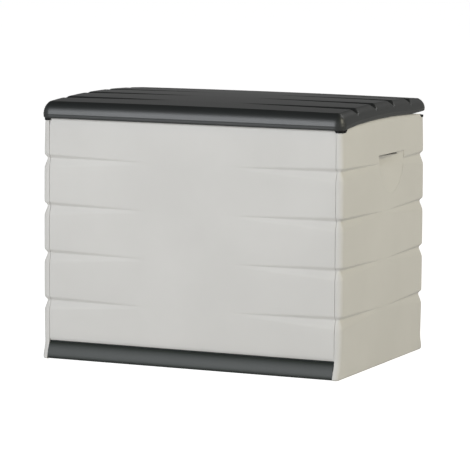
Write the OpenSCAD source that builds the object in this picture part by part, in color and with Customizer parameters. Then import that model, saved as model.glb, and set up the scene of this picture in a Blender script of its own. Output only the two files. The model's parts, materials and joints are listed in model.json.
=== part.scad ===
// Garden deck storage box: four grooved wall panels on a dark floor tray, locked by
// corner caps, under an arched lid that swings on two pins at the rear.
// Millimetres. +X right, -Y front, +Z up; origin on the ground in the middle of the base.

/* [Box] */
// Width across the outer faces of the side panels
box_w = 780; // [640:1:960]
// Depth across the faces of the front and rear panels
box_d = 534; // [440:1:660]
// Height of the side panels at the crest of their arched top
side_h = 599; // [480:1:740]
// Fall of the arched top from its crest to the front and rear faces
side_arch = 10; // [4:0.5:16]
// Wall of the moulded panels
wall = 3; // [2.4:0.1:3.6]
// Radius of the upright outer corners
corner_r = 12; // [10:0.5:14]
// Width of a side panel's edge seen from the front
edge_w = 15; // [14:0.5:20]
// Depth of the flanges along the upright joints
flange_d = 22; // [18:1:30]
// Gap between pieces that stand still beside each other
joint_gap = 0.6; // [0.3:0.1:1]

/* [Grooves] */
// Number of groove levels on each wall
groove_levels = 4; // [2:1:5]
// Distance of the outermost grooves from the plinth and from the rim
groove_margin = 98; // [80:1:120]
// Depth of a groove at the corner
groove_depth = 5.5; // [3:0.5:6]
// Height of a groove's short upper flank at the corner
groove_up = 10; // [6:1:14]
// Height of a groove's long lower flank at the corner
groove_down = 22; // [14:1:28]
// Length of a groove on the front and rear, from the corner to where it fades out
groove_len_front = 268; // [150:1:300]
// Length of a groove on the sides
groove_len_side = 215; // [120:1:215]

/* [Floor tray] */
// Height of the plinth, which is the floor's height
plinth_h = 44; // [36:1:60]
// How far the foot stands out of the wall
foot_out = 13; // [6:1:16]
// How far the plinth lies behind the side panels' feet
plinth_back = 1.5; // [0.5:0.5:3]
// Number of ribs under the floor, front to rear
floor_ribs = 5; // [3:2:9]
// Height of the kerb that keeps the front and rear panels in place
kerb_h = 14; // [8:1:20]

/* [Hand pockets] */
// Width of the pocket's mouth
pocket_w = 164; // [130:1:196]
// Height of the pocket
pocket_h = 97; // [80:1:116]
// Depth of the pocket at its lip
pocket_depth = 21; // [17:0.5:26]
// How far the fingers' space rises behind the lip
lip_undercut = 8; // [4:0.5:10]
// Thickness of the lip
lip_t = 6; // [4:0.5:8]
// Distance of the lip below the crest of the side panel
pocket_drop = 88; // [60:1:110]
// Shift of the pocket towards the rear
pocket_shift = 42; // [0:1:50]

/* [Corner caps] */
// Reach of a cap along the side panel
cap_reach = 30; // [26:1:40]
// Reach of a front cap along the front panel
cap_front_reach = 22; // [20:1:30]
// Reach of a rear cap towards the middle of the box
hinge_cap_reach = 46; // [44:1:60]
// Thickness of the visible band of a front cap
cap_h = 12; // [10:0.5:13]
// Thickness of a rear cap's plate
hinge_cap_h = 5.5; // [4:0.5:6]
// How far a cap stands proud of the walls, less than the lid's overhang past its wall
cap_proud = 2; // [0:0.5:2.5]
// Depth of the caps' seat below the crest of the side panel
seat_drop = 17; // [15:0.5:22]

/* [Lid] */
// Overhang of the lid past the side panels
lid_over_x = 6; // [4:0.5:10]
// Overhang of the lid past the front and rear panels
lid_over_y = 10; // [9:0.5:12]
// Rise of the lid's crest above the side panels' crest
lid_rise = 40; // [36:1:60]
// Height of the front lip
lip_h = 42; // [38:1:46]
// Depth of the front lip's lower edge below the crest of the side panel
lip_drop = 11; // [9:0.5:13]
// Gap between the side panels' top and the ends of the lid
end_gap = 3; // [1:0.5:6]
// Shift of the lid's crest towards the rear
crest_shift = 0; // [0:1:60]
// Fall of the deck from its crest to the two ends
deck_crown = 2; // [1:0.5:12]
// Radius of the lid's upright corners
lid_corner_r = 22; // [18:1:24]
// Height of the lid's ribs below the deck
lid_rib_h = 14; // [8:1:20]
// Number of grooves across the deck
deck_grooves = 4; // [2:1:6]
// Spacing of the deck grooves
deck_pitch = 116; // [70:1:116]
// Depth of a deck groove at the end of the lid
deck_groove_depth = 5; // [2:0.5:6]

/* [Hinges] */
// Radius of the hinge pins
pin_r = 3; // [2.5:0.1:3.5]
// Radial clearance of the pins in their bores
pin_fit = 0.05; // [0.02:0.01:0.1]
// Radius of the ear round the pin
ear_r = 7.5; // [6.5:0.1:7.8]
// Width of the ear
ear_w = 10; // [8:0.5:12]
// Width of each lug on the lid
lug_w = 9; // [7:0.5:10]
// Height of the hinge axis above the crest of the side panel
axis_up = 7; // [6:0.5:9]
// Distance of the hinge axis in front of the rear panel's face
axis_in = 4; // [3:0.5:6]

/* [Screws] */
// Shank radius
screw_r = 1.75; // [1.5:0.05:2]
// Head radius
head_r = 3.8; // [3.2:0.1:4]
// Head height
head_h = 2.4; // [1.8:0.1:3]
// Radius of the pilot holes that the threads bite into
pilot_r = 1.5; // [1.3:0.05:1.5]
// Radial clearance of the holes that the shanks pass through
hole_fit = 0.3; // [0.2:0.05:0.5]
// Shank length of the panel and floor screws
short_screw = 12; // [10:0.5:13]
// Shank length of the cap screws
cap_screw = 38; // [32:1:42]
// Number of floor screws on each side
floor_screw_count = 3; // [2:1:5]

/* [Hidden] */
$fn = 48;
light = "#c9c7bf";
dark = "#3f4443";
steel = "#b4b6b8";
over = 20;                                     // how far long cutters run past what they cut
nip = 1;                                       // how far short cutters run past
half_w = box_w / 2;
half_d = box_d / 2;
seam_x = half_w - edge_w;                      // plane of the upright joints
panel_x = seam_x - joint_gap / 2;              // end of the front and rear panels
post_x = seam_x + joint_gap / 2;               // inner face of the side panels' posts
seat_z = side_h - seat_drop;                   // where the caps sit
lip_z = side_h - lip_drop;                     // lower edge of the lid's front lip
top_hidden = 4;                                // height of the front panel hidden behind the lip
front_top = lip_z + top_hidden;
rear_top = lip_z;
arch_r = (half_d * half_d + side_arch * side_arch) / (2 * side_arch);
// grooves
first_groove = plinth_h + groove_margin;
groove_pitch = (lip_z - groove_margin - first_groove) / (groove_levels - 1);
levels = [for (i = [0:groove_levels - 1]) first_groove + i * groove_pitch];
// slant of the caps' seats, run and rise, along the sides and along the front and rear
seat_slant_side = [10, 9];
seat_slant_front = [7, 8];
// hinge
axis_y = half_d - axis_in;
axis_z = side_h + axis_up;
neck_y = half_d - 15.5;                        // rear face of the neck, the open lid's stop
neck_t = 13;                                   // depth of the neck
neck_under = 5.5;                              // depth of the ear's arm below the axis
neck_bevel = 6;
ear_x = half_w - 30;                           // outer face of the ear, clear of the lid's corner
side_play = 0.4;                               // play of the ear between the lugs
clip_h = 1.6;
clip_r = pin_r + 2.5;
pin_head_r = pin_r + 2;
// upstand on the rear panel's rim
upstand_x = ear_x - ear_w - lug_w - 8;         // clear of the lugs
upstand_rim = half_d - neck_y + wall + 0.8;    // clear of the lid's rear edge as it swings
upstand_top = side_h + 3;
// lid
lid_x = half_w + lid_over_x;
lid_y = half_d + lid_over_y;
crest_z = side_h + lid_rise;
brow_z = lip_z + lip_h;                        // where the deck meets the lip
brow_in = 18;                                  // width of the rounded brow
brow_y = lid_y - brow_in;
deck_r = (pow(brow_y + crest_shift, 2) + pow(crest_z - brow_z, 2)) / (2 * (crest_z - brow_z));
crown_r = (lid_x * lid_x + deck_crown * deck_crown) / (2 * deck_crown);
rear_low = side_h - 1;                         // lower edge of the lid at the rear
rear_rise = [45, 10];                          // where that edge starts to rise and has risen
rear_band = 10;                                // upright band above the rear edge
end_band = 14;                                 // height where the ends start to round over
lip_lean = 2;                                  // how far the lip's lower edge lies back
lip_band = 12;                                 // height of that leaning band
lip_back = -lid_y + brow_in + 4;               // rear limit of the lip
deck_groove_len = half_w * 0.62;
deck_groove_flank = 8;
rest_x = half_w - 16;                          // rests over the front caps
rest_end = -half_d + cap_reach - 4;
rib_t = 2.4;
// pockets
pocket_top = side_h - pocket_drop;
pocket_wall_h = 24;                            // upright stretch of the pocket's side walls
pocket_round = 38;                             // radius of the pocket's lower tip
scoop_fall = 0.8 * pocket_h / pocket_depth;    // steepness of the pocket's back
rim_w = 9;                                     // width of the rims turned inwards
// tray and its ledges on the side panels
ledge_w = 28;
ledge_z = plinth_h - wall - joint_gap;
tab_y = half_d - flange_d - 4;
panel_foot = 15;                               // width of the panels' flange on the tray
kerb_x = panel_x - flange_d - over;
floor_screw_x = half_w - 16;
// screws
flange_screw_y = half_d - flange_d / 2 - wall / 2;
panel_screw_z = [for (i = [0:groove_levels - 2]) levels[i] + groove_pitch / 2];
post_hollow = half_w - wall - (post_x + wall); // clear width inside the side panels' posts
cap_screw_x = post_x + wall + post_hollow / 2;
cap_screw_y = half_d - 11;
peg_h = 10;
peg_r = post_hollow / 2 - joint_gap;
boss_r = post_hollow / 2 + 0.15;               // bites into both walls of its post
boss_h = 26;
floor_boss_r = pilot_r + wall;
cap_head_z = seat_z + 5;                       // underside of the cap screws' heads
recess = [4, 0.8, 1];                          // cross recess in a screw's head
// slots up the caps' outer faces
slot_w = 2.2;
slot_depth = 2.4;
slot_pitch = 6;

function flare(z) = foot_out * (1 - cos(180 * (1 - z / plinth_h))) / 2;
function arc(cx, cy, rx, ry, from, to, n) =
    [for (i = [0:n]) let (a = from + (to - from) * i / n) [cx + rx * cos(a), cy + ry * sin(a)]];

// Prism along X whose section is given in Y and Z
module along_x(x0, x1, section) {
    translate([x0, 0, 0]) rotate([90, 0, 90]) linear_extrude(x1 - x0) polygon(section);
}

// Prism along Y whose section is given in X and Z
module along_y(y0, y1, section) {
    translate([0, y1, 0]) rotate([90, 0, 0]) linear_extrude(y1 - y0) polygon(section);
}

module block(x0, x1, y0, y1, z0, z1) {
    translate([x0, y0, z0]) cube([x1 - x0, y1 - y0, z1 - z0]);
}

module rod_x(x0, x1, y, z, r) {
    translate([x0, y, z]) rotate([0, 90, 0]) cylinder(r = r, h = x1 - x0);
}

module rounded_prism(hx, hy, r, z0, z1) {
    block(-hx + r, hx - r, -hy, hy, z0, z1);
    block(-hx, hx, -hy + r, hy - r, z0, z1);
    for (sx = [-1, 1]) for (sy = [-1, 1])
        translate([sx * (hx - r), sy * (hy - r), z0]) cylinder(r = r, h = z1 - z0);
}

module both_sides() {
    children();
    mirror([1, 0, 0]) children();
}

module front_and_rear() {
    children();
    mirror([0, 1, 0]) children();
}

// V-shaped cutter that starts as nothing at its tip and deepens along its length
module wedge(length, depth, up, down) {
    run = length + over;
    rotate([0, 0, atan(depth / length)]) along_x(0, run,
        [[0, 0], [-over, over * up / depth], [-over, -over * down / depth]]);
}

// Everything inside the walls' outer skin, drawn in by inset
module wall_block(inset) {
    r = corner_r - inset;
    difference() {
        union() {
            rounded_prism(half_w - inset, half_d - inset, r, -over, side_h + over);
            intersection() {
                rounded_prism(half_w - inset, half_d + foot_out - inset, r, -over, plinth_h);
                along_x(-half_w, half_w, foot_section(inset));
            }
        }
        both_sides() front_and_rear() for (z = levels) {
            translate([half_w - groove_len_front, inset - half_d, z])
                wedge(groove_len_front, groove_depth, groove_up, groove_down);
            translate([half_w - inset, groove_len_side - half_d, z]) rotate([0, 0, -90])
                mirror([0, 1, 0]) wedge(groove_len_side, groove_depth, groove_up, groove_down);
        }
    }
}

function foot_side(inset) = [for (i = [0:8]) let (z = plinth_h * (1 - i / 8))
    [half_d + flare(z) - inset, z]];
function foot_section(inset) = let (rear = foot_side(inset), low = half_d + foot_out - inset)
    concat([for (p = rear) [-p[0], p[1]]], [[-low, -over], [low, -over]],
        [for (i = [8:-1:0]) rear[i]]);

module skin() {
    difference() {
        wall_block(0);
        wall_block(wall);
    }
}

// Space under the side panels' arched top
module under_side_arch() {
    rod_x(-half_w - over, half_w + over, 0, side_h - arch_r, arch_r, $fn = 360);
}

// Shield outline of a pocket, grown by grow all round
function pocket_outline(grow) = let (h = pocket_w / 2 + grow, top = pocket_top + grow,
        low = pocket_top - pocket_wall_h, round = pocket_round + grow,
        mid = pocket_top - pocket_h + pocket_round)
    concat([[pocket_shift - h, top], [pocket_shift - h, low]],
        arc(pocket_shift, mid, round, round, 195, 345, 10),
        [[pocket_shift + h, low], [pocket_shift + h, top]]);

// Scoop that is deepest under its lip and fades out at its lower tip, with a space for the
// fingers that rises behind the lip
module pocket(grow) {
    back = half_w - pocket_depth - grow;
    half = pocket_w / 2 + grow;
    tip = pocket_top - pocket_h - grow;
    intersection() {
        along_x(back, half_w + grow, pocket_outline(grow));
        along_y(-half_d, half_d, [[back, pocket_top + grow], [back, pocket_top - pocket_wall_h],
            [half_w + over, tip - over * scoop_fall],
            [half_w + over, pocket_top + grow]]);
    }
    block(back, half_w - lip_t + grow, pocket_shift - half, pocket_shift + half,
        pocket_top - lip_t, pocket_top + lip_undercut + grow);
}

// Side view of the slanted seat, measured from the front face
function seat_side_section(reach, z) = let (end = -half_d + reach)
    [[-half_d - over, z], [end - seat_slant_side[0], z], [end, z + seat_slant_side[1]],
        [end, side_h + over], [-half_d - over, side_h + over]];
// Front view of the slanted seat, measured from the side face
function seat_front_section(reach, z) = let (end = half_w - reach)
    [[half_w + over, z], [end + seat_slant_front[0], z], [end, z + seat_slant_front[1]],
        [end, side_h + over], [half_w + over, side_h + over]];

module side_panel() {
    inner_y = half_d - flange_d;
    difference() {
        union() {
            intersection() {
                union() {
                    skin();
                    intersection() {
                        wall_block(0);
                        front_and_rear()
                            block(post_x, post_x + wall, -half_d - over, -inner_y, 0, side_h);
                    }
                    // rim turned inwards along the arched top
                    difference() {
                        block(half_w - rim_w, half_w - wall / 2, -inner_y, inner_y,
                            seat_z, side_h);
                        translate([0, 0, -wall]) under_side_arch();
                    }
                }
                block(post_x, half_w, -half_d - over, half_d + over, 0, side_h);
                under_side_arch();
            }
            // ledge that carries the floor tray, with its web down to the ground
            block(half_w - ledge_w, half_w - wall / 2, -tab_y, tab_y, ledge_z - wall, ledge_z);
            block(half_w - ledge_w, half_w - ledge_w + wall, -tab_y, tab_y, 0, ledge_z);
            for (y = floor_screw_y()) translate([floor_screw_x, y, ledge_z - short_screw])
                cylinder(r = floor_boss_r, h = short_screw - wall / 2);
            front_and_rear() translate([cap_screw_x, -cap_screw_y, seat_z - peg_h - boss_h])
                cylinder(r = boss_r, h = boss_h - joint_gap);
            pocket(wall);
        }
        block(half_w, half_w + over, -half_d, half_d, 0, side_h);
        pocket(0);
        front_and_rear() intersection() {
            along_x(0, half_w + over, seat_side_section(cap_reach + joint_gap, seat_z));
            block(post_x - over, half_w + over, -half_d - over, 0, seat_z, side_h + over);
        }
        for (y = floor_screw_y())
            translate([floor_screw_x, y, 0]) cylinder(r = pilot_r, h = plinth_h);
        front_and_rear() translate([cap_screw_x, -cap_screw_y, seat_z - peg_h - boss_h - nip])
            cylinder(r = pilot_r, h = boss_h + nip);
        front_and_rear() for (z = panel_screw_z)
            rod_x(post_x - nip, post_x + wall + nip, -flange_screw_y, z, pilot_r);
    }
}

function floor_screw_y() = [for (i = [0:floor_screw_count - 1])
    (i - (floor_screw_count - 1) / 2) * 2 * (tab_y - over) / (floor_screw_count - 1)];

// Front panel, also used mirrored as the rear panel with its own top edge and rim
module wall_panel(top, reach, rim) {
    inner_y = half_d - flange_d;
    foot_z = plinth_h + joint_gap / 2;
    difference() {
        union() {
            intersection() {
                skin();
                block(-panel_x, panel_x, -half_d - over, -half_d + over, foot_z, top);
            }
            intersection() {
                wall_block(0);
                union() {
                    both_sides()
                        block(panel_x - wall, panel_x, -half_d - over, -inner_y, foot_z, top);
                    block(-panel_x, panel_x, -half_d, -half_d + panel_foot, foot_z, foot_z + wall);
                    block(-panel_x, panel_x, -half_d, -half_d + rim, top - wall, top);
                }
            }
        }
        both_sides() intersection() {
            along_y(-half_d - over, 0, seat_front_section(reach + joint_gap, seat_z));
            block(0, half_w + over, -half_d - over, 0, seat_z, side_h + over);
        }
        both_sides() for (z = panel_screw_z)
            rod_x(panel_x - wall - nip, panel_x + nip, -flange_screw_y, z,
                screw_r + hole_fit);
    }
}

module front_panel() {
    color(light) wall_panel(front_top, cap_front_reach, rim_w);
}

// The rear panel's rim carries an upstand inside the swing of the lid's rear edge
module rear_panel() {
    color(light) mirror([0, 1, 0]) {
        wall_panel(rear_top, hinge_cap_reach, upstand_rim);
        block(-upstand_x, upstand_x, -half_d + upstand_rim - wall, -half_d + upstand_rim,
            rear_top - wall, upstand_top);
    }
}

module right_side_panel() {
    color(light) side_panel();
}

module left_side_panel() {
    color(light) mirror([1, 0, 0]) side_panel();
}

// Section of the tray's hull in Y and Z, drawn in by inset
function tray_side(inset) = [for (i = [0:8]) let (z = plinth_h * (1 - i / 8))
    [half_d + flare(z) - plinth_back - inset - (i == 0 ? 2 : 0), z - (i == 0 ? inset : 0)]];
function tray_section(inset) = let (rear = tray_side(inset),
        low = half_d + foot_out - plinth_back - inset)
    concat([for (p = rear) [-p[0], p[1]]], inset > 0 ? [[-low, -over], [low, -over]] : [],
        [for (i = [8:-1:0]) rear[i]]);

module floor_tray() {
    kerb_y = half_d - panel_foot - joint_gap;
    color(dark) difference() {
        union() {
            difference() {
                along_x(-panel_x, panel_x, tray_section(0));
                along_x(-panel_x - over, panel_x + over, tray_section(wall));
            }
            both_sides()
                block(panel_x - over, half_w - wall - joint_gap, -tab_y, tab_y,
                    plinth_h - wall, plinth_h);
            intersection() {
                along_x(-panel_x, panel_x, tray_section(0));
                union() {
                    for (i = [0:floor_ribs - 1]) translate([(i - (floor_ribs - 1) / 2)
                            * 2 * (panel_x - ledge_w - over) / (floor_ribs - 1), 0, 0])
                        block(-rib_t / 2, rib_t / 2, -lid_y, lid_y, 0, plinth_h);
                    block(-panel_x + ledge_w, panel_x - ledge_w, -rib_t / 2, rib_t / 2, 0, plinth_h);
                }
            }
            front_and_rear() block(-kerb_x, kerb_x, -kerb_y, -kerb_y + wall,
                plinth_h - wall, plinth_h + kerb_h);
        }
        both_sides() for (y = floor_screw_y())
            translate([floor_screw_x, y, 0])
                cylinder(r = screw_r + hole_fit, h = plinth_h + nip);
    }
}

// Plate of a cap in its slanted seat, at the front right corner
module cap_plate(reach_x, height) {
    r = corner_r + cap_proud;
    intersection() {
        along_x(0, half_w + cap_proud, seat_side_section(cap_reach, seat_z + joint_gap / 2));
        along_y(-half_d - cap_proud, 0, seat_front_section(reach_x, seat_z + joint_gap / 2));
        rounded_prism(half_w + cap_proud, half_d + cap_proud, r, 0, seat_z + height);
    }
}

module cap_peg() {
    translate([cap_screw_x, -cap_screw_y, seat_z - peg_h])
        cylinder(r = peg_r, h = peg_h + 2 * nip);
}

module cap_screw_hole() {
    translate([cap_screw_x, -cap_screw_y, seat_z - peg_h - nip])
        cylinder(r = screw_r + hole_fit, h = peg_h + over);
    translate([cap_screw_x, -cap_screw_y, cap_head_z])
        cylinder(r = head_r + hole_fit, h = over);
}

// Slots that run up the cap's two outer faces
module cap_slots() {
    face_x = half_w + cap_proud;
    face_y = -half_d - cap_proud;
    for (i = [1:3]) let (in = (i + 0.5) * slot_pitch) {
        if (i < 3)
            block(half_w - in, half_w - in + slot_w, face_y - nip, face_y + slot_depth, 0, side_h);
        block(face_x - slot_depth, face_x + nip, -half_d + in, -half_d + in + slot_w, 0, side_h);
    }
}

module front_cap() {
    color(dark) difference() {
        union() {
            difference() {
                cap_plate(cap_front_reach, cap_h);
                cap_slots();
            }
            cap_peg();
        }
        cap_screw_hole();
    }
}

module front_right_corner_cap() {
    front_cap();
}

module front_left_corner_cap() {
    mirror([1, 0, 0]) front_cap();
}

// Rear cap: a low plate with a swan-neck ear that reaches back over the swing of the lid's
// rear edge; the neck's rear face is the stop of the open lid
module hinge_cap() {
    front_y = neck_y - neck_t;
    color(dark) difference() {
        union() {
            mirror([0, 1, 0]) difference() {
                cap_plate(hinge_cap_reach, hinge_cap_h);
                cap_slots();
            }
            mirror([0, 1, 0]) cap_peg();
            along_x(ear_x - ear_w, ear_x, [[front_y, seat_z + nip], [neck_y, seat_z + nip],
                [neck_y, axis_z - neck_under], [axis_y, axis_z - neck_under],
                [axis_y, axis_z + ear_r], [front_y + neck_bevel, axis_z + ear_r],
                [front_y, axis_z]]);
            rod_x(ear_x - ear_w, ear_x, axis_y, axis_z, ear_r);
        }
        mirror([0, 1, 0]) cap_screw_hole();
        rod_x(ear_x - ear_w - nip, ear_x + nip, axis_y, axis_z, pin_r + pin_fit);
    }
}

module rear_right_hinge_cap() {
    hinge_cap();
}

module rear_left_hinge_cap() {
    mirror([1, 0, 0]) hinge_cap();
}

// Side view of the lid drawn in by inset: front lip, arched deck and rear edge
function deck_z(y, inset) = crest_z - deck_r
    + sqrt(pow(deck_r - inset, 2) - pow(y - crest_shift, 2));
function lid_side(inset) = let (mid = lip_z + lip_band, back = rear_low + rear_band,
        foot = -lid_y + lip_lean + inset)
    concat([[foot, -over], [foot, lip_z], [-lid_y + inset, mid]],
        arc(-brow_y, mid, brow_in - inset, deck_z(-brow_y, inset) - mid, 172, 98, 6),
        [for (i = [0:16]) let (y = -brow_y + 2 * brow_y * i / 16) [y, deck_z(y, inset)]],
        arc(brow_y, back, brow_in - inset, deck_z(brow_y, inset) - back, 82, 8, 6),
        [[lid_y - inset, back], [lid_y - inset, -over]]);
// Front view of the lid drawn in by inset: crowned deck with rounded ends
function lid_front(inset) = let (top = crest_z - inset, edge = lid_x - brow_in,
        low = side_h + end_band, shoulder = crest_z - crown_r + sqrt(pow(crown_r, 2) - pow(edge, 2)))
    concat([[-lid_x + inset, -over]],
        arc(-edge, low, brow_in - inset, shoulder - inset - low, 180, 98, 7),
        [for (i = [-8:8]) let (x = edge * i / 8)
            [x, top - crown_r + sqrt(pow(crown_r, 2) - x * x)]],
        arc(edge, low, brow_in - inset, shoulder - inset - low, 82, 0, 7),
        [[lid_x - inset, -over]]);

module lid_block(inset) {
    difference() {
        intersection() {
            along_x(-lid_x - nip, lid_x + nip, lid_side(inset));
            along_y(-lid_y - nip, lid_y + nip, lid_front(inset));
            rounded_prism(lid_x - inset, lid_y - inset, lid_corner_r - inset, 0, crest_z + nip);
        }
        both_sides() for (i = [0:deck_grooves - 1])
            let (y = (i - (deck_grooves - 1) / 2) * deck_pitch,
                z = min(deck_z(y, 0), crest_z - deck_crown / 4) - inset)
            translate([lid_x - deck_groove_len, y, z])
                rotate([-90, 0, 0]) wedge(deck_groove_len, deck_groove_depth + deck_crown,
                    deck_groove_flank, deck_groove_flank);
    }
}

module lid_shell() {
    lug_xs = [ear_x + side_play, ear_x - ear_w - side_play - lug_w];
    color(dark) difference() {
        union() {
            difference() {
                lid_block(0);
                lid_block(wall);
            }
            intersection() {
                lid_block(wall / 2);
                difference() {
                    union() {
                        for (i = [-1:1]) block(i * box_w / 4 - rib_t / 2, i * box_w / 4 + rib_t / 2,
                            -lid_y, lid_y, side_h, crest_z);
                        for (s = [-1, 1]) block(-lid_x, lid_x, s * box_d / 4 - rib_t / 2,
                            s * box_d / 4 + rib_t / 2, side_h, crest_z);
                    }
                    rod_x(-lid_x, lid_x, crest_shift, crest_z - deck_r,
                        deck_r - wall - lid_rib_h, $fn = 360);
                }
            }
            intersection() {
                lid_block(wall / 2);
                both_sides() {
                    // rests that land on the front caps
                    block(rest_x, rest_x + rib_t, -lid_y, rest_end,
                        seat_z + cap_h + joint_gap, crest_z);
                    for (x = lug_xs)
                        block(x, x + lug_w, axis_y - ear_r, lid_y, axis_z, crest_z);
                }
            }
            both_sides() for (x = lug_xs)
                rod_x(x, x + lug_w, axis_y, axis_z, ear_r);
        }
        // arched lower edge of the ends, and the raised rear edge
        difference() {
            rod_x(-lid_x - over, lid_x + over, 0, side_h - arch_r, arch_r + end_gap, $fn = 360);
            block(-lid_x - over, lid_x + over, -lid_y - over, lip_back, 0, side_h + over);
        }
        along_x(-lid_x - over, lid_x + over,
            [[half_d - rear_rise[0], 0], [half_d - rear_rise[0], side_h - side_arch],
                [half_d - rear_rise[1], rear_low], [lid_y + over, rear_low], [lid_y + over, 0]]);
        block(-lid_x - over, lid_x + over, -lid_y - over, lip_back, 0, lip_z);
        both_sides() rod_x(ear_x - ear_w - lug_w - over, ear_x + lug_w + over, axis_y, axis_z,
            pin_r + pin_fit);
    }
}

module hinge_pin() {
    inner = ear_x - ear_w - side_play - lug_w;
    outer = ear_x + side_play + lug_w;
    color(steel) {
        rod_x(inner - head_h, outer + clip_h + nip, axis_y, axis_z, pin_r);
        rod_x(inner - head_h, inner - pin_fit, axis_y, axis_z, pin_head_r);
    }
}

module right_hinge_pin() {
    hinge_pin();
}

module left_hinge_pin() {
    mirror([1, 0, 0]) hinge_pin();
}

// Push-on rings that keep the pins in the lid's lugs
module hinge_pin_clips() {
    outer = ear_x + side_play + lug_w + pin_fit;
    color(steel) both_sides() difference() {
        rod_x(outer, outer + clip_h, axis_y, axis_z, clip_r);
        rod_x(outer - nip, outer + clip_h + nip, axis_y, axis_z, pin_r + pin_fit);
    }
}

// Screw that stands on its tip, with a domed head and a cross recess
module screw(length) {
    difference() {
        union() {
            translate([0, 0, -length]) cylinder(r = screw_r, h = length + head_h / 4);
            translate([0, 0, -length - screw_r]) cylinder(r1 = screw_r / 6, r2 = screw_r, h = screw_r);
            cylinder(r = head_r, h = head_h / 2);
            translate([0, 0, head_h / 2]) cylinder(r1 = head_r, r2 = head_r * 0.6, h = head_h / 2);
        }
        for (a = [0, 90]) rotate([0, 0, a])
            translate([-recess[0] / 2, -recess[1] / 2, head_h - recess[2]])
                cube([recess[0], recess[1], 2 * recess[2]]);
    }
}

module cap_screws() {
    color(steel) both_sides() front_and_rear()
        translate([cap_screw_x, -cap_screw_y, cap_head_z]) screw(cap_screw);
}

module panel_screws() {
    color(steel) both_sides() front_and_rear() for (z = panel_screw_z)
        translate([panel_x - wall, -flange_screw_y, z]) rotate([0, -90, 0]) screw(short_screw);
}

module floor_screws() {
    color(steel) both_sides() for (y = floor_screw_y())
        translate([floor_screw_x, y, plinth_h]) screw(short_screw);
}

floor_tray();
front_panel();
rear_panel();
left_side_panel();
right_side_panel();
front_left_corner_cap();
front_right_corner_cap();
rear_left_hinge_cap();
rear_right_hinge_cap();
lid_shell();
left_hinge_pin();
right_hinge_pin();
hinge_pin_clips();
cap_screws();
panel_screws();
floor_screws();
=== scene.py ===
"""Garden deck storage box: soft-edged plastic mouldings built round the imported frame."""
import json
import math

import bmesh
import bpy
from mathutils import Matrix, Vector


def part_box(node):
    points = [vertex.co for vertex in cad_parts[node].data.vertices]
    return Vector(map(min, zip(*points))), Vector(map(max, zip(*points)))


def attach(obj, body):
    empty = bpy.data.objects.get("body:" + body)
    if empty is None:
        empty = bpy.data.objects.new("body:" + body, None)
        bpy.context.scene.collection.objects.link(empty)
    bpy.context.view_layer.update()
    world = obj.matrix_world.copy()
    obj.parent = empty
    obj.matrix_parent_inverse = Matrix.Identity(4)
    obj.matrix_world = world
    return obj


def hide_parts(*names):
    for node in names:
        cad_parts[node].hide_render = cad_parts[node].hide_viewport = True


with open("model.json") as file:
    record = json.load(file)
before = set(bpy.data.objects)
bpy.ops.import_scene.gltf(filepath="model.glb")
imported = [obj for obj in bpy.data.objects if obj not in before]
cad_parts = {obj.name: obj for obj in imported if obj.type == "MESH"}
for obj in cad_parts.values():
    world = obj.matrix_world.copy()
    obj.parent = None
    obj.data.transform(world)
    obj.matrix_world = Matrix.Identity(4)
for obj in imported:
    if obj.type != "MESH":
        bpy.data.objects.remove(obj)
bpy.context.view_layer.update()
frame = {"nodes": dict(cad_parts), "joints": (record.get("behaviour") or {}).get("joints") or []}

bl_info = {
    "name": "Deck Storage Box",
    "version": (1, 0, 0),
    "blender": (4, 5, 0),
    "location": "3D View > Sidebar > Deck Box",
    "description": "Builds a garden storage box with grooved walls and an arched, hinged lid",
    "category": "Object",
}

MM = 0.001

# Places taken from the frame, in metres
HALF_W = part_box("right_side_panel")[1][0]
HALF_D = -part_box("front_panel")[0][1]
PLINTH_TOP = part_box("front_panel")[0][2]
PANEL_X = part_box("front_panel")[1][0]
POST_X = HALF_W - 14.7 * MM
FRONT_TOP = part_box("front_panel")[1][2]
REAR_RIM_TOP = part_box("rear_panel")[1][2]
SIDE_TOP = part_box("right_side_panel")[1][2]
FOOT_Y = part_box("right_side_panel")[1][1]
LID_LOW, LID_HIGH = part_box("lid_shell")
SEAT_Z = SIDE_TOP - 17 * MM
REAR_TOP = FRONT_TOP - 4 * MM
LIP_TOP = SIDE_TOP + 31 * MM
AXIS = Vector(frame["joints"][0]["pos_m"])

# Sizes that several pieces share, in metres
FLANGE = 22 * MM
CORNER = 12 * MM
GROOVE_PITCH = 116 * MM
LEVELS = [142 * MM + i * GROOVE_PITCH for i in range(4)]
NEAR = 0.1 * MM  # slack when a point of the cage is compared with a place


def clamp(value, low=0.0, high=1.0):
    return max(low, min(high, value))


# ------------------------------------------------------------------ modelling helpers
def deselect_all():
    if bpy.context.object and bpy.context.object.mode != "OBJECT":
        bpy.ops.object.mode_set(mode="OBJECT")
    bpy.ops.object.select_all(action="DESELECT")


def only(piece):
    """Selects one piece and makes it active, in object mode."""
    deselect_all()
    piece.select_set(True)
    bpy.context.view_layer.objects.active = piece


def settle(piece):
    """Puts the piece's place into its mesh, so that the object sits at the origin."""
    only(piece)
    bpy.ops.object.transform_apply(location=True, rotation=True, scale=True)


def edit(piece, kind="VERT"):
    only(piece)
    bpy.ops.object.mode_set(mode="EDIT")
    bpy.ops.mesh.select_mode(type=kind)
    bpy.ops.mesh.select_all(action="DESELECT")


def done():
    bpy.ops.object.mode_set(mode="OBJECT")


def sheet(name, centre, width, height, turn):
    """A flat sheet of that width and height, turned to face its side of the box."""
    deselect_all()
    bpy.ops.mesh.primitive_plane_add(size=1, location=centre, rotation=turn)
    piece = bpy.context.object
    piece.name = name
    piece.scale = (width, height, 1)
    settle(piece)
    return piece


def cube(name, low, high):
    deselect_all()
    low, high = Vector(low), Vector(high)
    bpy.ops.mesh.primitive_cube_add(size=1, location=(low + high) / 2)
    piece = bpy.context.object
    piece.name = name
    piece.scale = high - low
    settle(piece)
    return piece


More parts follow.
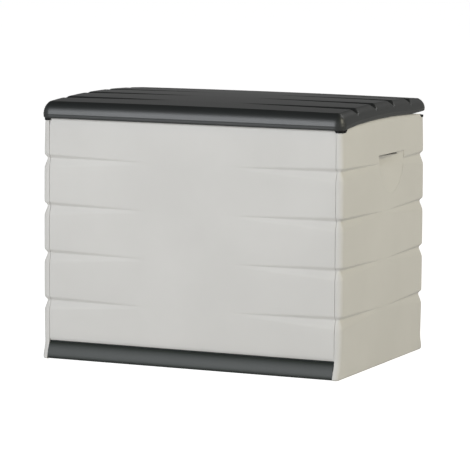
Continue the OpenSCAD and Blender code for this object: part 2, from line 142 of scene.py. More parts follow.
def cut(piece, axis, places):
    """Cuts edge loops across the whole piece at those places on one axis."""
    edit(piece)
    normal = [0, 0, 0]
    normal[axis] = 1
    for place in places:
        bpy.ops.mesh.select_all(action="SELECT")
        point = [0, 0, 0]
        point[axis] = place
        bpy.ops.mesh.bisect(plane_co=point, plane_no=normal)
    done()


def pick_border(piece, test):
    """Selects the border edges whose two ends both pass the test, in edit mode."""
    bm = bmesh.from_edit_mesh(piece.data)
    for edge in bm.edges:
        edge.select = edge.is_boundary and all(test(v.co) for v in edge.verts)
    if not any(edge.select for edge in bm.edges):
        raise RuntimeError("no border edge found on " + piece.name)
    bmesh.update_edit_mesh(piece.data)


def fold(piece, test, *steps):
    """Extrudes a border of the sheet by each step in turn."""
    edit(piece, "EDGE")
    pick_border(piece, test)
    for step in steps:
        bpy.ops.mesh.extrude_region_move(TRANSFORM_OT_translate={"value": step})
    done()


def reshape(piece, rule):
    """Moves each point of the cage to where the rule puts it."""
    edit(piece)
    bm = bmesh.from_edit_mesh(piece.data)
    for vert in bm.verts:
        vert.co = rule(vert.co.copy())
    bmesh.update_edit_mesh(piece.data)
    done()


def modify(piece, kind, **settings):
    only(piece)
    modifier = piece.modifiers.new(kind.lower(), kind)
    for key, value in settings.items():
        setattr(modifier, key, value)
    bpy.ops.object.modifier_apply(modifier=modifier.name)


def smooth(piece, levels):
    modify(piece, "SUBSURF", levels=levels, render_levels=levels)


def thicken(piece, thickness):
    """Gives the sheet a wall on its inner side."""
    modify(piece, "SOLIDIFY", thickness=thickness, offset=-1, use_even_offset=True)


def round_edges(piece, radius, segments=3, angle=30):
    modify(piece, "BEVEL", width=radius, segments=segments, limit_method="ANGLE",
           angle_limit=math.radians(angle))


def face_out(piece, way=None):
    """Turns the faces outward; an open sheet is told which way its main face looks."""
    edit(piece)
    bpy.ops.mesh.select_all(action="SELECT")
    bpy.ops.mesh.normals_make_consistent(inside=False)
    if way:
        bm = bmesh.from_edit_mesh(piece.data)
        if sum(face.normal.dot(Vector(way)) * face.calc_area() for face in bm.faces) < 0:
            bpy.ops.mesh.flip_normals()
    done()


def shade(piece, angle=40):
    only(piece)
    bpy.ops.object.shade_smooth_by_angle(angle=math.radians(angle))


def join(pieces, name):
    deselect_all()
    for piece in pieces:
        piece.select_set(True)
    bpy.context.view_layer.objects.active = pieces[0]
    bpy.ops.object.join()
    pieces[0].name = name
    return pieces[0]


def mirrored(piece, axis, name):
    """A copy with its own mesh on the other side of the box."""
    only(piece)
    bpy.ops.object.duplicate(linked=False)
    copy = bpy.context.object
    copy.name = name
    copy.scale[axis] = -1
    settle(copy)
    edit(copy)
    bpy.ops.mesh.select_all(action="SELECT")
    bpy.ops.mesh.flip_normals()
    done()
    return copy


def cut_away(piece, tool):
    modify(piece, "BOOLEAN", operation="DIFFERENCE", object=tool, solver="EXACT")
    drop(tool)


def fuse(piece, tool):
    modify(piece, "BOOLEAN", operation="UNION", object=tool, solver="EXACT")
    drop(tool)


def drop(piece):
    bpy.data.objects.remove(piece, do_unlink=True)


def finish_piece(piece, body, slot, material, *nodes):
    """Gives the piece its material, parents it to its body's empty and hides the frame parts that it
    takes the place of.
    """
    piece.data.materials.clear()
    piece.data.materials.append(material)
    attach(piece, body)
    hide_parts(*nodes)


def sizes():
    return bpy.context.scene.deck_box_sizes


def colours():
    return bpy.context.scene.deck_box_colours


# ------------------------------------------------------------------ materials
def linear(colour):
    """sRGB hex to linear RGBA."""
    parts = [int(colour[i:i + 2], 16) / 255 for i in (1, 3, 5)]
    return [c / 12.92 if c <= 0.04045 else ((c + 0.055) / 1.055) ** 2.4 for c in parts] + [1.0]


def node(tree, kind, settings=None, **links):
    """Adds a node; links name an input (spaces as underscores) and the socket that feeds it."""
    made = tree.nodes.new(kind)
    for key, value in (settings or {}).items():
        if key in made.inputs.keys():
            made.inputs[key].default_value = value
        else:
            setattr(made, key, value)
    for key, socket in links.items():
        tree.links.new(socket, made.inputs[key.replace("_", " ")])
    return made


def new_material(name):
    made = bpy.data.materials.get(name) or bpy.data.materials.new(name)
    made.use_nodes = True
    made.node_tree.nodes.clear()
    return made, made.node_tree


def moulded_plastic(name, colour, tint, roughness, specular, grain_mm, grain_depth):
    """Injection-moulded polypropylene: an even colour with faint flow clouds and a fine grain
    that breaks up its satin reflections."""
    material, tree = new_material(name)
    place = node(tree, "ShaderNodeTexCoord").outputs["Object"]
    flow = node(tree, "ShaderNodeTexNoise", {"Scale": 1 / 0.22, "Detail": 3.0}, Vector=place)
    share = node(tree, "ShaderNodeMapRange", {"From Min": 0.35, "From Max": 0.65},
                 Value=flow.outputs["Fac"])
    body = node(tree, "ShaderNodeMix", {"data_type": "RGBA"})
    body.inputs[6].default_value = linear(colour)
    body.inputs[7].default_value = linear(tint)
    tree.links.new(share.outputs["Result"], body.inputs[0])
    grain = node(tree, "ShaderNodeTexNoise",
                 {"Scale": 1 / (grain_mm * MM), "Detail": 2.0, "Roughness": 0.6}, Vector=place)
    rough = node(tree, "ShaderNodeMapRange", {"To Min": roughness - 0.05, "To Max": roughness + 0.05},
                 Value=grain.outputs["Fac"])
    bump = node(tree, "ShaderNodeBump", {"Strength": 0.35, "Distance": grain_depth * MM},
                Height=grain.outputs["Fac"])
    surface = node(tree, "ShaderNodeBsdfPrincipled",
                   {"IOR": 1.49, "Specular IOR Level": specular},
                   Base_Color=body.outputs[2], Roughness=rough.outputs["Result"],
                   Normal=bump.outputs["Normal"])
    node(tree, "ShaderNodeOutputMaterial", Surface=surface.outputs["BSDF"])
    return material


def light_plastic():
    """A pale, slightly warm grey with a soft satin sheen."""
    return moulded_plastic("light_moulded_polypropylene", colours().walls, colours().walls_tint,
                           0.5, 0.35, 2.6, 0.06)


def lid_plastic():
    """A near-black grey, smoother than the walls, so that its roll carries a long soft highlight."""
    return moulded_plastic("anthracite_moulded_polypropylene", colours().lid, colours().lid_tint,
                           0.41, 0.6, 2.4, 0.04)


def tray_plastic():
    """The lid's plastic with the duller finish of a part that stands on the ground."""
    return moulded_plastic("dull_anthracite_polypropylene", colours().tray, colours().tray_tint,
                           0.47, 0.42, 2.4, 0.05)


def cap_plastic():
    """Black and dull, so that the caps read as darker than the lid above them."""
    return moulded_plastic("black_moulded_nylon", colours().caps, colours().caps_tint,
                           0.5, 0.25, 1.2, 0.04)


def zinc_steel():
    """Zinc-plated steel: a pale metal with a faintly mottled, brushed reflection."""
    material, tree = new_material("zinc_plated_steel")
    place = node(tree, "ShaderNodeTexCoord").outputs["Object"]
    spangle = node(tree, "ShaderNodeTexNoise", {"Scale": 1 / 0.004, "Detail": 2.0}, Vector=place)
    rough = node(tree, "ShaderNodeMapRange", {"To Min": 0.22, "To Max": 0.42},
                 Value=spangle.outputs["Fac"])
    surface = node(tree, "ShaderNodeBsdfPrincipled",
                   {"Base Color": linear("#c3c6c8"), "Metallic": 1.0},
                   Roughness=rough.outputs["Result"])
    node(tree, "ShaderNodeOutputMaterial", Surface=surface.outputs["BSDF"])
    return material


# ------------------------------------------------------------------ wall panels
def groove_rows():
    """Heights of the cage rows round each groove, from its lower lip to its upper lip."""
    up, down = sizes().groove_up, sizes().groove_down
    rows = []
    for level in LEVELS:
        rows += [level + step for step in (-down - 4 * MM, -down, -2 * MM, 2 * MM, up, up + 3 * MM)]
    return rows


def in_groove(z, reach):
    """How deep a cage row lies in its groove, and its height once the groove narrows."""
    up, down = sizes().groove_up, sizes().groove_down
    narrow = 0.25 + 0.75 * reach
    for level in LEVELS:
        step = z - level
        if -down - 5 * MM < step < up + 4 * MM:
            deep = abs(step) < 3 * MM
            return (sizes().groove_depth * reach if deep else 0), level + step * narrow
    return 0, z


def wall_panel(name, top, rim, cap_reach):
    """A wall that faces the front: grooves from both ends, rolled top and bottom edges, end flanges."""
    low = PLINTH_TOP
    roll_base = top - 40 * MM
    panel = sheet(name, (0, -HALF_D, (low + top) / 2), 2 * PANEL_X, top - low,
                  (math.radians(90), 0, 0))
    cut(panel, 2, [low + 2 * MM, low + 6 * MM, low + 14 * MM] + groove_rows()
        + [roll_base, top - 22 * MM, top - 10 * MM, top - 2 * MM])
    steps = [0.8, 4, 7, 12, 22.5, 30.5, 70, 120, 170, 215, 252, 290, 330]
    cut(panel, 0, [s * (PANEL_X - step * MM) for step in steps for s in (-1, 1)] + [0])
    for s in (-1, 1):
        fold(panel, lambda co: abs(co.x - s * PANEL_X) < NEAR,
             (0, 0.8 * MM, 0), (0, FLANGE - 0.8 * MM, 0))
    fold(panel, lambda co: co.z > top - NEAR and co.y < -HALF_D + NEAR,
         (0, 2 * MM, 0), (0, rim - 2 * MM, 0))
    fold(panel, lambda co: co.z < low + NEAR and co.y < -HALF_D + NEAR,
         (0, 2.5 * MM, 0), (0, 12.5 * MM, 0))
    tip = PANEL_X - sizes().groove_reach

    def shape(co):
        reach = clamp((abs(co.x) - tip) / sizes().groove_reach)
        depth, z = in_groove(co.z, reach)
        inner = clamp((-HALF_D + FLANGE - co.y) / FLANGE)
        over = clamp((co.z - roll_base) / (40 * MM))
        under = clamp((low + 14 * MM - co.z) / (14 * MM))
        back = (depth + 3.5 * MM * over ** 3 + 4 * MM * under ** 2) * inner
        seat = clamp((abs(co.x) - (HALF_W - cap_reach)) / (7 * MM))
        ceiling = top + (SEAT_Z - 0.3 * MM - top) * seat
        if co.z > roll_base:
            z = roll_base + (co.z - roll_base) * (ceiling - roll_base) / (top - roll_base)
        return Vector((co.x, co.y + back, z))

    reshape(panel, shape)
    smooth(panel, 2)
    face_out(panel, (0, -1, 0))
    thicken(panel, sizes().wall)
    return panel


def flare(z):
    """How far the foot stands out at that height."""
    if z >= PLINTH_TOP:
        return 0
    return (FOOT_Y - HALF_D) * (1 - math.cos(math.pi * (1 - z / PLINTH_TOP))) / 2


def side_top(y):
    """Height of the side panel's top edge: arched, with a slanted seat at each end."""
    arch = SIDE_TOP - 10 * MM * (y / HALF_D) ** 2
    seat = clamp((abs(y) - (HALF_D - 30.6 * MM)) / (10 * MM))
    return arch + (SEAT_Z - 0.2 * MM - arch) * seat


def side_panel(name):
    """The right side panel with both upright corners, foot and arched rim."""
    flat = HALF_D - CORNER
    panel = sheet(name, (HALF_W, 0, SIDE_TOP / 2), SIDE_TOP, 2 * flat, (0, math.radians(90), 0))
    base = SIDE_TOP - 39 * MM
    cut(panel, 2, [z * MM for z in (0.8, 4, 9, 15, 22, 30, 38, 44, 52)] + groove_rows()
        + [base, SIDE_TOP - 20 * MM, SIDE_TOP - 9 * MM, SIDE_TOP - 3 * MM, SIDE_TOP - 0.7 * MM])
    steps = [19.6, 20.6, 30.6, 31.6, 36, 60, 100, 150, 203, 240]
    cut(panel, 1, [s * (HALF_D - step * MM) for step in steps for s in (-1, 1)] + [0])
    strip = HALF_W - CORNER - POST_X
    for s in (-1, 1):
        edit(panel, "EDGE")
        pick_border(panel, lambda co: abs(co.y - s * flat) < NEAR)
        bpy.ops.mesh.spin(steps=4, angle=-s * math.radians(90), axis=(0, 0, 1),
                          center=(HALF_W - CORNER, s * flat, 0))
        done()
        fold(panel, lambda co: abs(co.y - s * HALF_D) < 0.3 * MM
             and abs(co.x - HALF_W + CORNER) < 0.3 * MM,
             (0.9 * MM - strip, 0, 0), (-0.9 * MM, 0, 0),
             (0, -s * 0.9 * MM, 0), (0, -s * (FLANGE - 0.9 * MM), 0))
    edit(panel)
    bpy.ops.mesh.select_all(action="SELECT")
    bpy.ops.mesh.remove_doubles(threshold=0.05 * MM)
    done()
    fold(panel, lambda co: co.z > SIDE_TOP - NEAR and abs(co.y) < HALF_D - 31 * MM
         and co.x > HALF_W - NEAR, (-0.8 * MM, 0, 0), (-8 * MM, 0, 0))
    tip = HALF_D - sizes().groove_reach_side

    def shape(co):
        s = 1 if co.y > 0 else -1
        reach = clamp((abs(co.y) - tip) / sizes().groove_reach_side)
        depth, z = in_groove(co.z, reach)
        x, y = co.x, co.y
        centre = Vector((HALF_W - CORNER, s * flat))
        if abs(y) <= flat + NEAR and x > HALF_W - 10 * MM:
            x -= depth
        elif x > HALF_W - CORNER + 0.2 * MM:
            out = Vector((x, y)) - centre
            x, y = centre + out * (out.length - depth) / out.length
        else:
            y -= s * depth * clamp((abs(y) - HALF_D + FLANGE) / (FLANGE * 0.8))
        y += s * flare(z) * clamp((abs(y) - 0.225) / 0.03)
        under = clamp(1 - z / (3 * MM))
        if x > HALF_W - 3 * MM:
            x -= 3.5 * MM * under
        if abs(y) > HALF_D + 8 * MM:
            y -= s * 3.5 * MM * under
        if co.z > base:
            z = base + (co.z - base) * (side_top(co.y) - base) / (SIDE_TOP - base)
            rolled = clamp((co.z - SIDE_TOP + 9 * MM) / (9 * MM))
            if x > HALF_W - 9 * MM and abs(y) < HALF_D - 31 * MM:
                x -= 2 * MM * rolled ** 2
        return Vector((x, y, z))

    reshape(panel, shape)
    smooth(panel, 2)
    face_out(panel, (1, 0, 0))
    thicken(panel, sizes().wall)
    return panel


# Hand pocket, in metres: its lowest and highest places, the middle of its width and half its width
POCKET_LOW = 414 * MM
POCKET_TOP = 511 * MM
POCKET_MIDDLE = 42 * MM
POCKET_HALF = 82 * MM


def scoop(name, grow, front):
    """A shield-shaped dish: deepest under its lip, shallower to the rear and to its lower tip."""
    # height in mm, half width and depth as shares of the full ones
    rows = [(414, 0.06, 0.0), (416, 0.22, 0.02), (420, 0.36, 0.05), (427, 0.5, 0.1),
            (436, 0.62, 0.17), (447, 0.73, 0.25), (460, 0.84, 0.34), (473, 0.93, 0.45),
            (483, 0.98, 0.6), (490, 1.0, 0.85), (496, 1.0, 1.0), (511, 1.0, 1.0)]
    across = [(-1, 0.45), (-0.9, 0.55), (-0.7, 0.72), (-0.4, 0.86), (-0.1, 0.88), (0.3, 0.72),
              (0.65, 0.42), (0.88, 0.17), (1, 0.04)]
    piece = cube(name, (0, -1, POCKET_LOW), (1, 1, POCKET_TOP))
    cut(piece, 2, [row[0] * MM for row in rows[1:-1]])
    cut(piece, 1, [column[0] for column in across[1:-1]])

    def shape(co):
        row = min(rows, key=lambda row: abs(row[0] * MM - co.z))
        column = min(across, key=lambda column: abs(column[0] - co.y))
        back = HALF_W - sizes().pocket_depth * row[2] * column[1] - grow
        y = POCKET_MIDDLE + co.y * (POCKET_HALF * row[1] + grow)
        lift = grow if row is rows[-1] else -grow * (1 - row[2])
        return Vector((front if co.x > 0.5 else min(back, HALF_W - 0.3 * MM), y, co.z + lift))

    reshape(piece, shape)
    face_out(piece)
    return piece


def add_pocket(panel):
    """Sinks the hand pocket into the wall, with room for the fingers behind its lip."""
    faces = len(panel.data.polygons)
    rise = sizes().lip_undercut
    back = HALF_W - sizes().pocket_depth
    shell = scoop("pocket_shell", 3 * MM, HALF_W - 1.5 * MM)
    hood = cube("pocket_hood",
                (back - 3 * MM, POCKET_MIDDLE - POCKET_HALF - 3 * MM, POCKET_TOP - 8 * MM),
                (HALF_W - 1.5 * MM, POCKET_MIDDLE + POCKET_HALF + 3 * MM, POCKET_TOP + rise + 3 * MM))
    fuse(panel, shell)
    fuse(panel, hood)
    cut_away(panel, scoop("pocket_space", 0, HALF_W + 12 * MM))
    cut_away(panel, cube("finger_space", (back, POCKET_MIDDLE - POCKET_HALF, POCKET_TOP - 7 * MM),
                         (HALF_W - 6 * MM, POCKET_MIDDLE + POCKET_HALF * 0.7, POCKET_TOP + rise)))
    cut_away(panel, cube("end_slot", (back, POCKET_MIDDLE - POCKET_HALF, POCKET_TOP - 24 * MM),
                         (HALF_W + 5 * MM, POCKET_MIDDLE - POCKET_HALF + 6 * MM, POCKET_TOP - 9 * MM)))
    if len(panel.data.polygons) < faces / 2:
        raise RuntimeError("the pocket's cuts lost the wall of " + panel.name)


def bow_out(panel):
    """Swells the side panel outward at mid-height, fading to nothing at its posts and ends."""
    def shape(co):
        share = clamp((co.x - POST_X) / (HALF_W - POST_X)) * (1 - (2 * co.z / SIDE_TOP - 1) ** 4)
        return Vector((co.x + sizes().side_swell * share, co.y, co.z))

    reshape(panel, shape)


class DECKBOX_OT_walls(bpy.types.Operator):
    """Models the front and rear panels"""
    bl_idname = "deckbox.walls"
    bl_label = "Front and Rear Panels"

    def execute(self, context):
        front = wall_panel("front_panel_moulding", FRONT_TOP, 9 * MM, 22 * MM)
        shade(front)
        finish_piece(front, "box", "light_plastic", light_plastic(), "front_panel")
        source = wall_panel("rear_source", REAR_TOP, 17 * MM, 46 * MM)
        rear = mirrored(source, 1, "rear_panel_moulding")
        drop(source)
        stand_y = HALF_D - 19 * MM
        stand_x = HALF_W - 56 * MM
        stand = cube("rear_upstand", (-stand_x, stand_y, REAR_TOP - 3 * MM),
                     (stand_x, stand_y + 3 * MM, REAR_RIM_TOP))
        round_edges(stand, 1 * MM)
        rear = join([rear, stand], "rear_panel_moulding")
        shade(rear)
        finish_piece(rear, "box", "light_plastic", light_plastic(), "rear_panel")
        return {"FINISHED"}


class DECKBOX_OT_sides(bpy.types.Operator):
    """Models the two side panels with their hand pockets"""
    bl_idname = "deckbox.sides"
    bl_label = "Side Panels"

    def execute(self, context):
        right = side_panel("right_side_moulding")
        add_pocket(right)
        bow_out(right)
        shade(right)
        left = mirrored(right, 0, "left_side_moulding")
        shade(left)
        for panel, side in ((right, "right"), (left, "left")):
            finish_piece(panel, "box", "light_plastic", light_plastic(), side + "_side_panel")
        return {"FINISHED"}


# ------------------------------------------------------------------ lid
BROW = 18 * MM  # width of the rounded brow round the deck
DECK_CROWN = 2 * MM
LUG_TOP = 618 * MM
RIB_THICK = 2.4 * MM


def deck_height(x, y):
    """Height of the deck: an arch from front to rear with a slight crown along its length."""
    arch = (LID_HIGH[2] - LIP_TOP) * (y / (LID_HIGH[1] - BROW)) ** 2
    return LID_HIGH[2] - arch - DECK_CROWN * (x / (LID_HIGH[0] - BROW)) ** 2


def lid_edge(x, y):
    """Height of the lid's lower edge under a point of its outline."""
    front, rear = FRONT_TOP - 4 * MM, SIDE_TOP - 1 * MM
    arch = SIDE_TOP + 1 * MM - 10 * MM * (y / HALF_D) ** 2
    to_front = clamp((-y - (HALF_D - 30 * MM)) / (25 * MM))
    to_rear = clamp((y - (HALF_D - 45 * MM)) / (35 * MM))
    edge = arch + (front - arch) * to_front
    return edge + (rear - edge) * to_rear


# Outset in mm and share of the drop for each ring from the deck's border to the lower edge:
# a crease, a rounded brow, a small ridge near the foot and a rim turned under
RINGS = [(0, 0), (1.3, 0.02), (5.0, 0.085), (9.0, 0.18), (12.6, 0.3), (15.4, 0.44),
         (17.0, 0.59), (17.4, 0.69), (17.9, 0.73), (17.9, 0.765), (17.6, 0.79), (17.5, 0.86),
         (17.4, 0.94), (16.0, 1.0), (14.2, 1.0)]


class DECKBOX_OT_lid(bpy.types.Operator):
    """Models the arched lid with its lip, grooves, ribs and hinge lugs"""
    bl_idname = "deckbox.lid"
    bl_label = "Lid"

    def execute(self, context):
        deck_x, deck_y = LID_HIGH[0] - BROW, LID_HIGH[1] - BROW
        grooves = [(i - 1.5) * GROOVE_PITCH for i in range(4)]
        half = sizes().deck_groove_width / 2
        spread = (half + 2.5 * MM, half, 2 * MM)
        lid = sheet("lid_moulding", (0, 0, 0), 2 * deck_x, 2 * deck_y, (0, 0, 0))
        rows = [s * (deck_y - step * MM) for step in (2, 7) for s in (-1, 1)]
        rows += [g + s * step for g in grooves for step in spread for s in (-1, 1)]
        rows += [(grooves[i] + grooves[i + 1]) / 2 for i in range(3)]
        cut(lid, 1, rows)
        cut(lid, 0, [s * (deck_x - step * MM) for step in (2, 7, 30, 80, 130, 180, 232, 300)
                     for s in (-1, 1)] + [0])
        fold(lid, lambda co: True, *[(0, 0, -1 * MM)] * (len(RINGS) - 1))
        tip = deck_x - sizes().deck_groove_reach

        def shape(co):
            ring = round(-co.z / MM)
            out, share = RINGS[ring][0] * MM, RINGS[ring][1]
            x, y = co.x, co.y
            reach = clamp((abs(x) - tip) / sizes().deck_groove_reach)
            bite = 0
            for g in grooves:
                if abs(y - g) < half + 4 * MM:
                    y = g + (y - g) * (0.45 + 0.55 * reach) * (1 - 0.7 * clamp(share / 0.4))
                if abs(co.y - g) < 3 * MM:
                    bite = sizes().deck_groove_depth * reach ** 0.8
                    bite *= clamp(1 - share / 0.4) * (0.5 if share > 0.01 else 0.8)
            z = deck_height(x, y)
            on_x, on_y = deck_x - abs(co.x) < NEAR, deck_y - abs(co.y) < NEAR
            if on_x:
                x = math.copysign(deck_x + out - bite * 0.3 * clamp(out / (8 * MM)), x)
            if on_y:
                y = math.copysign(deck_y + out, y)
            if on_x and on_y:
                pull = (5 * MM + out) * 0.24
                x -= math.copysign(pull, x)
                y -= math.copysign(pull, y)
            return Vector((x, y, z + (lid_edge(x, y) - z) * share - bite))

        reshape(lid, shape)
        smooth(lid, 2)
        face_out(lid, (0, 0, 1))
        thicken(lid, sizes().wall)
        parts = [lid] + self.ribs() + self.lugs()
        lid = join(parts, "lid_moulding")
        shade(lid, 50)
        finish_piece(lid, "lid", "lid_plastic", lid_plastic(), "lid_shell")
        return {"FINISHED"}

    def ribs(self):
        """Stiffening ribs under the deck, arched like it."""
        made = []
        ends = (LID_HIGH[0] - 14 * MM, LID_HIGH[1] - 14 * MM)
        for i in (-1, 0, 1):
            x = i * HALF_W / 2
            made.append((cube("rib", (x - RIB_THICK / 2, -ends[1], 0),
                              (x + RIB_THICK / 2, ends[1], 1)), 1))
        for s in (-1, 1):
            y = s * HALF_D / 2
            made.append((cube("rib", (-ends[0], y - RIB_THICK / 2, 0),
                              (ends[0], y + RIB_THICK / 2, 1)), 0))
        for rib, axis in made:
            cut(rib, axis, [ends[axis] * k / 8 for k in range(-7, 8)])

            def follow(co):
                top = deck_height(co.x, co.y) - 3 * MM
                end = clamp((abs(co[axis]) - ends[axis] * 0.86) / (ends[axis] * 0.14))
                return Vector((co.x, co.y, top - 12 * MM * end if co.z > 0.5 else top - 14 * MM))

            reshape(rib, follow)
            round_edges(rib, 0.6 * MM, 2)
        return [rib for rib, axis in made]

    def lugs(self):
        """The pairs of lugs that hold the hinge pins, and the rests over the front caps."""
        made = []
        radius = 7.5 * MM
        for s in (-1, 1):
            for inner in (340.6, 360.4):
                lug = cube("lug", (0, AXIS.y - radius, AXIS.z), (9 * MM, AXIS.y + radius, LUG_TOP))
                deselect_all()
                bpy.ops.mesh.primitive_cylinder_add(
                    radius=radius, depth=9 * MM, vertices=48,
                    location=(4.5 * MM, AXIS.y, AXIS.z), rotation=(0, math.radians(90), 0))
                end = bpy.context.object
                settle(end)
                fuse(lug, end)
                round_edges(lug, 0.8 * MM, 2)
                lug.location.x = inner * MM if s > 0 else -(inner + 9) * MM
                settle(lug)
                made.append(lug)
            x = (HALF_W - 15 * MM) * s
            rest = cube("rest", (x - 1.2 * MM, -HALF_D, SEAT_Z + 12.6 * MM),
                        (x + 1.2 * MM, -HALF_D + 26 * MM, LUG_TOP))
            round_edges(rest, 0.5 * MM, 2)
            made.append(rest)
        return made


# ------------------------------------------------------------------ floor tray
TRAY_RIB_PITCH = 163 * MM
KERB_END = 332 * MM
SPINE_END = 346 * MM
# Height and outset in mm down the plinth: a roll that is widest near the floor and tucks under
PLINTH_ROLL = [(43.4, -7), (41, -6.5), (40.2, -1.5), (39, 0.6), (35, 3.2), (30, 5.6), (24, 7.9),
               (18, 9.7), (12, 11), (8, 11.5), (5.2, 11.4), (4, 10.9), (3.6, 9.4), (3.4, 2),
               (1.5, 1), (0, 1)]


class DECKBOX_OT_tray(bpy.types.Operator):
    """Models the floor tray with its two rounded plinths"""
    bl_idname = "deckbox.tray"
    bl_label = "Floor Tray"

    def execute(self, context):
        top = PLINTH_TOP - 0.3 * MM
        edge_y = HALF_D - 4 * MM
        tray = sheet("floor_tray_moulding", (0, 0, top), 2 * PANEL_X, 2 * edge_y, (0, 0, 0))
        cut(tray, 0, [s * (PANEL_X - 2 * MM) for s in (-1, 1)]
            + [i * PANEL_X / 6 for i in range(-5, 6)])
        cut(tray, 1, [s * (HALF_D - step * MM) for step in (6, 12, 40) for s in (-1, 1)] + [0])
        back = sizes().plinth_back
        places = [(z * MM, HALF_D + out * MM - back + 1.5 * MM) for z, out in PLINTH_ROLL]
        for s in (-1, 1):
            steps = []
            last = (top, edge_y)
            for z, y in places:
                steps.append((0, s * (y - last[1]), z - last[0]))
                last = (z, y)
            fold(tray, lambda co: abs(co.y - s * edge_y) < NEAR, *steps)
        smooth(tray, 2)
        face_out(tray, (0, 0, 1))
        thicken(tray, sizes().wall)
        parts = [tray]
        tab_y = HALF_D - FLANGE - 4 * MM
        for s in (-1, 1):
            near, far = s * (PANEL_X - 20 * MM), s * (HALF_W - 3.6 * MM)
            tab = cube("tab", (min(near, far), -tab_y, top - 3 * MM),
                       (max(near, far), tab_y, top - 0.01 * MM))
            parts.append(tab)
            kerb_y = s * (HALF_D - 15.6 * MM)
            inner = kerb_y - s * 3 * MM
            kerb = cube("kerb", (-KERB_END, min(kerb_y, inner), top - 3 * MM),
                        (KERB_END, max(kerb_y, inner), top + 14 * MM))
            round_edges(kerb, 1 * MM)
            parts.append(kerb)
        for i in range(5):
            x = (i - 2) * TRAY_RIB_PITCH
            rib = cube("rib", (x - RIB_THICK / 2, -HALF_D + 3 * MM, 0),
                       (x + RIB_THICK / 2, HALF_D - 3 * MM, top - 2 * MM))
            parts.append(rib)
        parts.append(cube("spine", (-SPINE_END, -RIB_THICK / 2, 0),
                          (SPINE_END, RIB_THICK / 2, top - 2 * MM)))
        tray = join(parts, "floor_tray_moulding")
        shade(tray)
        finish_piece(tray, "box", "dark_plastic", tray_plastic(), "floor_tray")
        return {"FINISHED"}


class DECKBOX_OT_hardware(bpy.types.Operator):
    """Gives the caps, pins, clips and screws their finishes"""
    bl_idname = "deckbox.hardware"
    bl_label = "Caps, Pins and Screws"

    def execute(self, context):
        for name, made in frame["nodes"].items():
            if name.endswith("_cap"):
                material = cap_plastic()
            elif name.endswith(("_pin", "_clips", "_screws")):
                material = zinc_steel()
            else:
                continue
            for slot in made.material_slots:
                slot.material = material
        return {"FINISHED"}


# ------------------------------------------------------------------ stage
LIGHT_TARGET = (0, 0, 0.4)
# Name, place, side in metres, power in watts and colour of each soft light
SOFTBOXES = [("key_softbox", (-2.4, -6.5, 2.3), 3.4, 338, "#f2f5f9"),
             ("side_softbox", (5.2, -0.4, 3.2), 2.5, 164, "#fbf6df"),
             ("rear_softbox", (3.0, 4.0, 5.0), 2.0, 55, "#ffffff")]
CAMERA_PLACE = Vector((3.1415, -7.0212, 1.2311))
CAMERA_TARGET = Vector((-0.0006, 0, 0.2942))
CAMERA_LENS_MM = 241.4
CAMERA_ROLL_DEG = 0.366


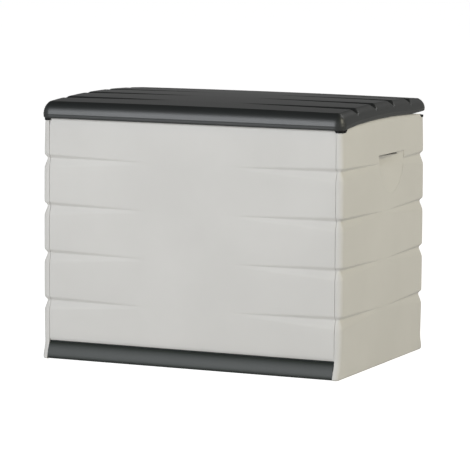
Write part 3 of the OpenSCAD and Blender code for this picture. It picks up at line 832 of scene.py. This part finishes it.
class DECKBOX_OT_stage(bpy.types.Operator):
    """Sets the pale floor, the soft lights and the camera"""
    bl_idname = "deckbox.stage"
    bl_label = "Stage"

    def execute(self, context):
        scene = context.scene
        scene.view_settings.view_transform = "Standard"
        floor = sheet("studio_floor", (0, 0, 0), 120, 120, (0, 0, 0))
        material, tree = new_material("lit_white_sweep")
        seen = node(tree, "ShaderNodeLightPath").outputs["Is Camera Ray"]
        glow = node(tree, "ShaderNodeMapRange", {"To Min": 0.22, "To Max": 0.92}, Value=seen)
        surface = node(tree, "ShaderNodeBsdfPrincipled",
                       {"Base Color": linear("#bcbcbb"), "Roughness": 0.9, "Specular IOR Level": 0.1,
                        "Emission Color": linear("#ffffff")}, Emission_Strength=glow.outputs["Result"])
        node(tree, "ShaderNodeOutputMaterial", Surface=surface.outputs["BSDF"])
        floor.data.materials.append(material)
        self.sky(scene)
        for softbox in SOFTBOXES:
            self.light(*softbox)
        self.camera(scene)
        return {"FINISHED"}

    def sky(self, scene):
        """Soft surround: brighter in front, dim overhead and behind the box."""
        world = bpy.data.worlds.new("studio_surround")
        world.use_nodes = True
        tree = world.node_tree
        tree.nodes.clear()
        way = node(tree, "ShaderNodeTexCoord").outputs["Generated"]
        axis = node(tree, "ShaderNodeSeparateXYZ", Vector=way)
        front = node(tree, "ShaderNodeMapRange", {"From Min": 0.3, "From Max": -0.9,
                                                  "To Min": 0.4, "To Max": 0.7},
                     Value=axis.outputs["Y"])
        height = node(tree, "ShaderNodeMapRange", {"From Min": 0.15, "From Max": 0.65,
                                                   "To Min": 1.0, "To Max": 0.12},
                      Value=axis.outputs["Z"])
        strength = node(tree, "ShaderNodeMath", {"operation": "MULTIPLY"})
        tree.links.new(front.outputs["Result"], strength.inputs[0])
        tree.links.new(height.outputs["Result"], strength.inputs[1])
        back = node(tree, "ShaderNodeBackground", {"Color": (1, 1, 1, 1)},
                    Strength=strength.outputs["Value"])
        node(tree, "ShaderNodeOutputWorld", Surface=back.outputs["Background"])
        scene.world = world

    def light(self, name, place, size, power, colour):
        data = bpy.data.lights.new(name, "AREA")
        data.shape = "SQUARE"
        data.size = size
        data.energy = power
        data.color = linear(colour)[:3]
        made = bpy.data.objects.new(name, data)
        made.location = place
        made.rotation_euler = (Vector(LIGHT_TARGET) - Vector(place)).to_track_quat("-Z", "Y").to_euler()
        bpy.context.scene.collection.objects.link(made)

    def camera(self, scene):
        """A long lens from the front right, a little above the lid, with a slight roll."""
        data = bpy.data.cameras.new("camera")
        data.lens = CAMERA_LENS_MM
        data.sensor_width = 36
        data.clip_end = 200
        made = bpy.data.objects.new("camera", data)
        forward = (CAMERA_TARGET - CAMERA_PLACE).normalized()
        right = forward.cross(Vector((0, 0, 1))).normalized()
        up = right.cross(forward)
        roll = math.radians(CAMERA_ROLL_DEG)
        right, up = (right * math.cos(roll) + up * math.sin(roll),
                     up * math.cos(roll) - right * math.sin(roll))
        made.matrix_world = Matrix((
            (right.x, up.x, -forward.x, CAMERA_PLACE.x),
            (right.y, up.y, -forward.y, CAMERA_PLACE.y),
            (right.z, up.z, -forward.z, CAMERA_PLACE.z),
            (0, 0, 0, 1)))
        scene.collection.objects.link(made)
        scene.camera = made


# ------------------------------------------------------------------ settings and panel
def length(name, text, value):
    return bpy.props.FloatProperty(name=name, description=text, default=value * MM,
                                   unit="LENGTH", subtype="DISTANCE")


class DeckBoxSizes(bpy.types.PropertyGroup):
    """Sizes of the mouldings that the frame doesn't fix"""
    wall: length("Wall", "Thickness of the moulded walls", 3)
    groove_depth: length("Groove depth", "Depth of the cage at a wall groove's corner end", 7)
    groove_up: length("Upper flank", "Height of a groove's short upper flank", 8.5)
    groove_down: length("Lower flank", "Height of a groove's long lower flank", 21)
    groove_reach: length("Front groove length", "Length of the front and rear grooves", 255)
    groove_reach_side: length("Side groove length", "Length of the side grooves", 258)
    plinth_back: length("Plinth setback", "How far the plinth lies behind the feet", 1.5)
    side_swell: length("Side swell", "How far the sides bow out at mid-height", 4)
    pocket_depth: length("Pocket depth", "Depth of the hand pockets under their lips", 21)
    lip_undercut: length("Finger space", "Rise of the space behind a pocket's lip", 8)
    deck_groove_depth: length("Deck groove depth", "Depth of the cage at a deck groove's end", 15)
    deck_groove_width: length("Deck groove width", "Width of a deck groove at its end", 27)
    deck_groove_reach: length("Deck groove length", "Length of the deck grooves", 250)


def swatch(name, text, value):
    return bpy.props.StringProperty(name=name, description=text, default=value)


class DeckBoxColours(bpy.types.PropertyGroup):
    """Colours of the mouldings as sRGB hex"""
    walls: swatch("Walls", "Light plastic of the wall panels", "#c9c7c3")
    walls_tint: swatch("Walls, clouded", "Faint flow clouds in the light plastic", "#c5c3bf")
    lid: swatch("Lid", "Anthracite plastic of the lid", "#1f2121")
    lid_tint: swatch("Lid, clouded", "Faint flow clouds in the anthracite", "#1c1f1f")
    tray: swatch("Floor tray", "Anthracite plastic of the floor tray", "#262b28")
    tray_tint: swatch("Floor tray, clouded", "Faint flow clouds in the tray's plastic", "#232825")
    caps: swatch("Caps", "Black plastic of the corner caps", "#0b0b0b")
    caps_tint: swatch("Caps, clouded", "Faint flow clouds in the black", "#0e0f0f")


class DECKBOX_PT_panel(bpy.types.Panel):
    """Lists the settings and the pieces in the sidebar"""
    bl_label = "Deck Box"
    bl_idname = "DECKBOX_PT_panel"
    bl_space_type = "VIEW_3D"
    bl_region_type = "UI"
    bl_category = "Deck Box"

    def draw(self, context):
        for group in (context.scene.deck_box_sizes, context.scene.deck_box_colours):
            for name in group.bl_rna.properties.keys():
                if name not in ("rna_type", "name"):
                    self.layout.prop(group, name)
        for operator in OPERATORS:
            self.layout.operator(operator.bl_idname)


OPERATORS = (DECKBOX_OT_stage, DECKBOX_OT_walls, DECKBOX_OT_sides, DECKBOX_OT_tray,
             DECKBOX_OT_lid, DECKBOX_OT_hardware)
CLASSES = (DeckBoxSizes, DeckBoxColours, *OPERATORS, DECKBOX_PT_panel)


def register():
    for cls in CLASSES:
        bpy.utils.register_class(cls)
    bpy.types.Scene.deck_box_sizes = bpy.props.PointerProperty(type=DeckBoxSizes)
    bpy.types.Scene.deck_box_colours = bpy.props.PointerProperty(type=DeckBoxColours)


def unregister():
    del bpy.types.Scene.deck_box_colours
    del bpy.types.Scene.deck_box_sizes
    for cls in reversed(CLASSES):
        bpy.utils.unregister_class(cls)


def main():
    register()
    bpy.ops.deckbox.stage()
    bpy.ops.deckbox.walls()
    bpy.ops.deckbox.sides()
    bpy.ops.deckbox.tray()
    bpy.ops.deckbox.lid()
    bpy.ops.deckbox.hardware()


if __name__ == "__main__":
    main()
